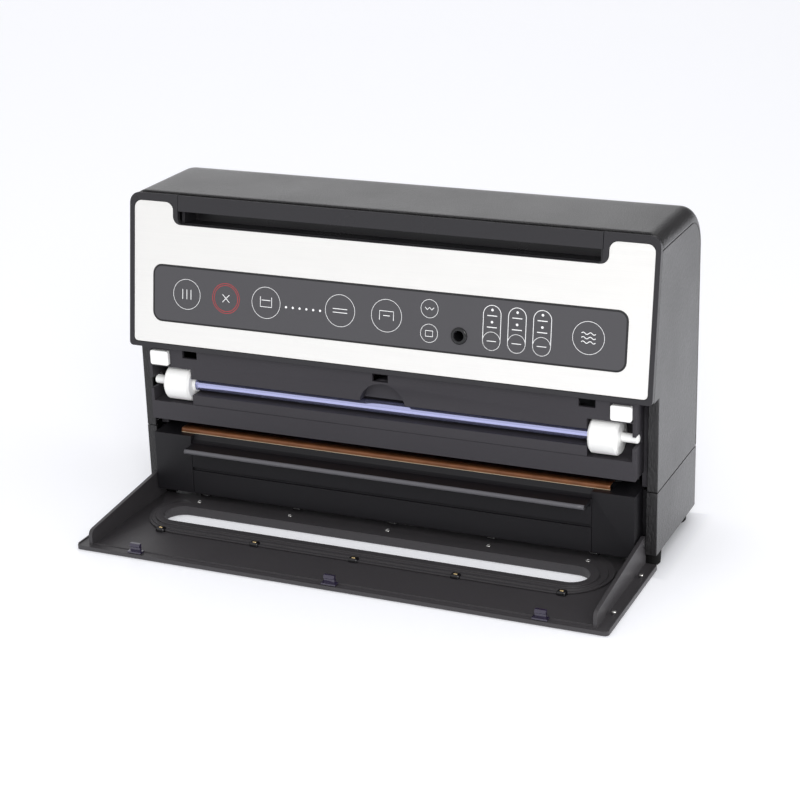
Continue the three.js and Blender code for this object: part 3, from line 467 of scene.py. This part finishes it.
big, small = 11.0, 6.4
row = 41.9
ink_ring(-152.5, row, big)
ink_ring(-120.4, row, 10.9, kind=1)
ink_ring(-120.4, row, 9.5, kind=1)
ink_ring(-88.1, row, big + 0.3)
ink_ring(-29.8, row, big + 0.4)
ink_ring(5.9, row, big + 0.5)
ink_ring(38.1, 50.0, small)
ink_ring(38.3, 32.8, small)
ink_ring(153.4, row - 0.5, 11.2)
for x in np.linspace(-72.1, -45.3, 6):
    ink_dot(x, 40.3, 0.85)
for x in (84.3, 102.5, 120.6):
    ink_capsule(x, 32.0, 50.4, 6.4, 0.45)
    ink_ring(x, 32.0, 6.4)
    for up in (53.6, 45.2):
        ink_dot(x, up, 0.9)
    ink_ribbon([(x - 3.6, 49.6), (x + 3.6, 49.6)], 0.6)
    ink_ribbon([(x - 3.6, 41.6), (x + 3.6, 41.6)], 0.6)

# Symbols in place of words: pump strokes, a cross, a bag, a seal line, a star and waves.
thin = 0.5
for shift in (-3.4, 0, 3.4):
    ink_ribbon([(-152.5 + shift, row - 3.6), (-152.5 + shift, row + 3.6)], thin)
ink_ribbon([(-123.2, row - 2.8), (-117.6, row + 2.8)], thin)
ink_ribbon([(-123.2, row + 2.8), (-117.6, row - 2.8)], thin)
ink_ribbon([(-92.6, row + 4.2), (-92.6, row - 3), (-83.6, row - 3), (-83.6, row + 4.2)], thin)
ink_ribbon([(-91.6, row + 1.8), (-84.6, row + 1.8)], thin)
ink_ribbon([(-35.4, row + 1.2), (-24.2, row + 1.2)], thin)
ink_ribbon([(-35.4, row - 1.4), (-24.2, row - 1.4)], thin)
ink_ribbon([(0.6, row - 3.2), (0.6, row + 3.2), (11.2, row + 3.2), (11.2, row - 3.2)], thin)
ink_ribbon([(3.4, row), (8.4, row)], thin)
ink_ribbon([(34.8, 50.9), (36.5, 49.2), (38.1, 50.9), (39.8, 49.2), (41.4, 50.9)], 0.5)
ink_ribbon([(35.6, 30.6), (35.6, 34.6), (41, 34.6), (41, 30.6)], 0.5, closed=True)
for shift in (-2.6, 0.4, 3.4):
    wave = np.linspace(-5, 5, 17)
    ink_ribbon(np.stack([153.4 + wave, row - 0.9 + shift + 0.7 * np.sin(wave * 1.25)], -1), thin)
for x in (84.3, 102.5, 120.6):
    ink_ribbon([(x - 3.4, 32), (x + 3.4, 32)], 0.5)

# Black border of the film, with rounded corners.
outline = [quarter((x, up), 6.4, start, start + 90, 8) for x, up, start in (
    (173.3, 55.0, 0), (-173.3, 55.0, 90), (-173.3, 27.4, 180), (173.3, 27.4, 270))]
ink_ribbon(np.concatenate(outline), 0.9, closed=True, kind=2)


def flat_ink(name, colour):
    """Screen-printing ink: opaque, with the slight unevenness of the mesh it was pushed through."""
    material, tree, shader = start_material(name)
    place = add(tree, "ShaderNodeTexCoord").outputs["Object"]
    weave = add(tree, "ShaderNodeTexNoise", {"Vector": place, "Scale": 1 / (0.3 * MM)})
    gloss = add(tree, "ShaderNodeMapRange", {
        "Value": weave.outputs["Fac"], "To Min": 0.4, "To Max": 0.6})
    shader.inputs["Base Color"].default_value = linear(colour)
    tree.links.new(gloss.outputs["Result"], shader.inputs["Roughness"])
    return material


inks = mesh_object("printed_line_art", np.concatenate(ink_points), ink_faces, smooth=False)
inks.data.materials.append(flat_ink("white_screen_ink", "#f3f3f3"))
inks.data.materials.append(flat_ink("red_screen_ink", "#c8262b"))
inks.data.materials.append(flat_ink("black_screen_ink", "#0c0c0e"))
inks.data.polygons.foreach_set("material_index", ink_kinds)
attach(inks, "casing")


# ---------------------------------------------------------------------------------------
# Collar of the hose port: a polished black ring let into the film round the nozzle's hole.
# It is moulded in nylon and pressed in from the front.
# ---------------------------------------------------------------------------------------
def smooth_finish(name, colour, roughness, metallic=0.0, coat=0.0):
    """A finish so smooth and small that it has no texture: polished plastic or metal."""
    material, _, shader = start_material(name)
    shader.inputs["Base Color"].default_value = linear(colour)
    shader.inputs["Roughness"].default_value = roughness
    shader.inputs["Metallic"].default_value = metallic
    shader.inputs["Coat Weight"].default_value = coat
    return material


collar_radius, bead_radius = 4.9, 1.1
port_low, port_high = (np.array(v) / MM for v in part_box("hose_port"))
port_x = (port_low[0] + port_high[0]) / 2
port_up = centre_height + ((port_low + port_high) / 2 - overlay_centre)[1:] @ panel_up[1:]
collar_round = quarter((0, 0), 1, 0, 352.5, 48)
collar_bead = quarter((0, 0), 1, 0, 337.5, 16)
collar_points = np.empty((len(collar_round), len(collar_bead), 3))
for n, (across_bead, out_of_panel) in enumerate(collar_bead):
    ring_line = collar_round * (collar_radius + bead_radius * across_bead) + [port_x, port_up]
    collar_points[:, n] = on_panel(ring_line, 0.2 + out_of_panel)
collar = mesh_object("hose_port_collar", collar_points, grid_faces(
    len(collar_round), len(collar_bead), close_rows=True, close_columns=True))
collar.data.materials.append(smooth_finish("polished_black_nylon", "#08080a", 0.08))
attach(collar, "casing")


# ---------------------------------------------------------------------------------------
# Roll holder: a tinted clear rod with a white turned plug on each end. The plug has a drum,
# a short sleeve on the rod, and a journal pin that is slit so that it can snap in. The rod
# is polished, with faint lengthwise streaks, and reflects almost like a mirror.
# ---------------------------------------------------------------------------------------
rod_material, rod_tree, rod_shader = start_material("violet_tinted_acrylic")
rod_place = add(rod_tree, "ShaderNodeTexCoord").outputs["Object"]
rod_streak = add(rod_tree, "ShaderNodeMapping", {
    "Vector": rod_place, "Scale": (1 / (40 * MM), 1 / (1.5 * MM), 1 / (1.5 * MM))})
rod_noise = add(rod_tree, "ShaderNodeTexNoise", {"Vector": rod_streak.outputs[0], "Scale": 1.0})
rod_gloss = add(rod_tree, "ShaderNodeMapRange", {
    "Value": rod_noise.outputs["Fac"], "To Min": 0.05, "To Max": 0.14})
rod_shader.inputs["Base Color"].default_value = linear("#b4b7df")
rod_shader.inputs["Metallic"].default_value = 0.9
rod_tree.links.new(rod_gloss.outputs["Result"], rod_shader.inputs["Roughness"])
softened("holder_rod", 0.3, rod_material)
for side in ("left", "right"):
    softened(f"holder_plug_{side}", 0.25, white_acetal)
    softened(f"release_block_{side}", 0.4, white_acetal)

# ---------------------------------------------------------------------------------------
# Sealing strip: copper-brown PTFE-coated glass cloth over the heating bar, folded over its
# front edge, where it catches the light; a cream band along its bottom is a painted highlight.
# ---------------------------------------------------------------------------------------
strip_low, strip_high = (np.array(v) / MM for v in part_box("sealing_strip"))
strip_material, strip_tree, strip_shader = start_material("ptfe_coated_glass_cloth")
strip_place = add(strip_tree, "ShaderNodeTexCoord").outputs["Object"]
weave_mm = 0.9
warp = add(strip_tree, "ShaderNodeTexWave", {
    "Vector": strip_place, "Scale": 1 / (weave_mm * MM) / 20, "Distortion": 0.6},
    bands_direction="X")
strip_bump = add(strip_tree, "ShaderNodeBump", {
    "Height": warp.outputs["Fac"], "Distance": 0.05 * MM, "Strength": 0.5})
cloth_noise = add(strip_tree, "ShaderNodeTexNoise", {
    "Vector": strip_place, "Scale": 1 / (9 * MM), "Detail": 4.0})
strip_tint = add(strip_tree, "ShaderNodeMix", {
    "Factor": cloth_noise.outputs["Fac"], 6: linear("#5c3620"), 7: linear("#94603c")},
    data_type="RGBA")
# A cream band along the bottom of the fold is a painted highlight, where the folded front edge catches
# the light.
strip_up = add(strip_tree, "ShaderNodeSeparateXYZ", {0: strip_place})
above_painted_highlight = add(strip_tree, "ShaderNodeMapRange", {
    "Value": strip_up.outputs["Z"],
    "From Min": (strip_low[2] + 0.9) * MM, "From Max": (strip_low[2] + 1.3) * MM})
strip_colour = add(strip_tree, "ShaderNodeMix", {
    "Factor": above_painted_highlight.outputs["Result"], 6: linear("#f0dfc0"), 7: strip_tint.outputs[2]},
    data_type="RGBA")
strip_tree.links.new(strip_colour.outputs[2], strip_shader.inputs["Base Color"])
strip_tree.links.new(strip_bump.outputs["Normal"], strip_shader.inputs["Normal"])
strip_shader.inputs["Roughness"].default_value = 0.32
strip_shader.inputs["Metallic"].default_value = 0.3
strip_nose = quarter((strip_low[1] + 1.3, strip_high[2] - 1.3), 1.25, 90, 180, 10)
hem_heights = np.linspace(strip_high[2] - 1.7, strip_low[2] + 0.1, 5)
strip_hem = [[strip_low[1] + 0.05, height] for height in hem_heights]
strip_section = np.concatenate([[[strip_high[1], strip_high[2] - 0.05]], strip_nose, strip_hem])
strip_x = np.linspace(strip_low[0], strip_high[0], 220)
strip_points = np.empty((len(strip_x), len(strip_section), 3))
strip_points[..., 0] = strip_x[:, None]
strip_points[..., 1:] = strip_section[None]
ripple = 0.05 * np.sin(strip_x / 9) + 0.04 * np.sin(strip_x / 3.1 + 1)
strip_points[:, 1:-1, 2] += ripple[:, None]
strip = mesh_object("sealing_strip_cloth", strip_points,
                    grid_faces(len(strip_x), len(strip_section)))
strip.data.materials.append(strip_material)
cloth = strip.modifiers.new("cloth", "SOLIDIFY")
cloth.thickness = 0.25 * MM
cloth.offset = -1
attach(strip, "casing")
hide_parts("sealing_strip")

# ---------------------------------------------------------------------------------------
# Bead along the drip tray's lip: the rounded front edge that a finger pulls, in a lighter grey
# than the tray behind it as a painted highlight, where the lip faces up into the light.
# ---------------------------------------------------------------------------------------
bead_abs_painted_highlight = moulded("grey_abs_painted_highlight", "#57565a", 0.35, 0.9, 0.01)
tray_low, tray_high = (np.array(v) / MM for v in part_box("drip_tray"))
bead_arc = quarter((tray_low[1] + 0.9, tray_high[2] - 1.3), 1.35, 80, 280, 14)
bead_x = np.linspace(tray_low[0] + 1.2, tray_high[0] - 1.2, 60)
bead_points = np.empty((len(bead_x), len(bead_arc), 3))
bead_points[..., 0] = bead_x[:, None]
bead_points[..., 1:] = bead_arc[None]
bead = mesh_object("tray_lip_bead", bead_points, grid_faces(len(bead_x), len(bead_arc)))
bead.data.materials.append(bead_abs_painted_highlight)
bead_wall = bead.modifiers.new("bead_wall", "SOLIDIFY")
bead_wall.thickness = 0.4 * MM
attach(bead, "casing")

# ---------------------------------------------------------------------------------------
# Door furniture: the stadium frame around the bag slot, moulded in the door's ABS, and the
# three snap hooks of clear violet polycarbonate along its free edge.
# ---------------------------------------------------------------------------------------
softened("door_slot_frame", 0.4, door_abs)
hook_material = smooth_finish("tinted_polycarbonate", "#2a2438", 0.06, coat=0.6)
for place in ("left", "centre", "right"):
    softened(f"door_hook_{place}", 0.3, hook_material)


# ---------------------------------------------------------------------------------------
# Snap clips of the slot frame: ten small black catches that hold it to the door sheet, five
# along its front edge and five along its rear edge, each with a small brass cap on top as a
# painted glint.
# ---------------------------------------------------------------------------------------
def pillow(x, y, z, half_x, half_y, height, rings=5, sides=24):
    """A low cushion: a superellipse outline that shrinks towards its top along a quarter circle."""
    a = np.linspace(0, 2 * math.pi, sides, endpoint=False)
    c, s = np.cos(a), np.sin(a)
    outline = np.stack([np.sign(c) * np.abs(c) ** 0.45, np.sign(s) * np.abs(s) ** 0.45], -1)
    rise = np.linspace(0, math.pi / 2, rings)
    shrink = 0.72 + 0.28 * np.cos(rise)
    shrink[-1] = 0.02
    lift = height * np.sin(rise) ** 0.8
    lift[-1] = height
    points = np.empty((rings, sides, 3))
    points[..., 0] = x + half_x * shrink[:, None] * outline[None, :, 0]
    points[..., 1] = y + half_y * shrink[:, None] * outline[None, :, 1]
    points[..., 2] = z + lift[:, None]
    return points


def pillows(name, cushions):
    """One mesh object of many cushions, each given as pillow's arguments."""
    shapes = np.array([pillow(*cushion) for cushion in cushions])
    rings, sides = shapes.shape[1:3]
    one = np.array(grid_faces(rings, sides, close_columns=True))
    faces = np.concatenate([one + n * rings * sides for n in range(len(shapes))])
    return mesh_object(name, shapes, faces.tolist()), len(one)


frame_low, frame_high = (np.array(v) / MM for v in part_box("door_slot_frame"))
clip_foot = frame_high[2] - 3.6
clip_parts = []
for x in (-155.0, -78.0, 0.0, 77.0, 154.0):
    for y in (frame_low[1] + 1.6, frame_high[1] + 0.2):
        clip_parts.append((x, y, clip_foot, 3.6, 3.0, 2.6))
        # The small brass cap on each clip is a painted glint.
        clip_parts.append((x, y, clip_foot + 2.3, 1.5, 1.2, 0.8))
clips, faces_each = pillows("slot_frame_clips", clip_parts)
clips.data.materials.append(smooth_finish("polished_black_acetal", "#0f0e11", 0.12))
clips.data.materials.append(smooth_finish("brass_cap_painted_glint", "#c9b183", 0.25, metallic=1.0))
part_of_face = np.arange(len(clips.data.polygons)) // faces_each
clips.data.polygons.foreach_set("material_index", part_of_face % 2)
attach(clips, "door")

# ---------------------------------------------------------------------------------------
# Screw heads: small bright domes along the rear side of the slot frame, and on the door's
# outer strips. They are steel, turned and nickel plated.
# ---------------------------------------------------------------------------------------
head = (1.5, 1.5, 0.9)
stud_parts = [(x, frame_high[1] - 16.5, frame_high[2] - 1.8, *head)
              for x in (-151.5, -75.5, 3, 81, 155)]
stud_parts += [(x, y, frame_high[2] - 2.4, *head)
               for x in (-195.6, 195.6) for y in (-19.8, -80.0)]
studs, _ = pillows("slot_frame_screws", stud_parts)
studs.data.materials.append(smooth_finish("polished_nickel_screw", "#e8e6e2", 0.18, metallic=1.0))
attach(studs, "door")

# ---------------------------------------------------------------------------------------
# Parts that keep their CAD mesh: feet, pins, and everything inside the casing. Each is made
# of one material, as moulded, turned, plated or cut.
# ---------------------------------------------------------------------------------------
plain_finishes = (
    (foot_rubber, ("foot_front_left", "foot_front_right", "foot_rear_left", "foot_rear_right",
                   "vacuum_hose")),
    (plated_steel, ("base_screw_front_left", "base_screw_front_right", "base_screw_rear_left",
                    "base_screw_rear_right", "jaw_spring_left", "jaw_spring_right", "hinge_pin_left",
                    "hinge_pin_right", "pump_motor")),
    (black_nylon, ("power_inlet", "hose_port", "upper_jaw", "pump_head_left", "pump_head_right")),
    (extruded_aluminium, ("heat_bar",)),
    (foam_rubber, ("lower_gasket", "upper_gasket")),
    (silicone_red, ("jaw_silicone_strip",)),
    (white_acetal, ("cam_shaft",)),
    (grey_abs, ("chassis_plate", "jaw_gearmotor")),
    (valve_blue, ("solenoid_valve",)),
    (board_green, ("control_board", "power_board")),
    (coil_lacquer, ("transformer",)),
)
for material, nodes in plain_finishes:
    for node in nodes:
        mesh = frame["nodes"][node].data
        mesh.materials.clear()
        mesh.materials.append(material)
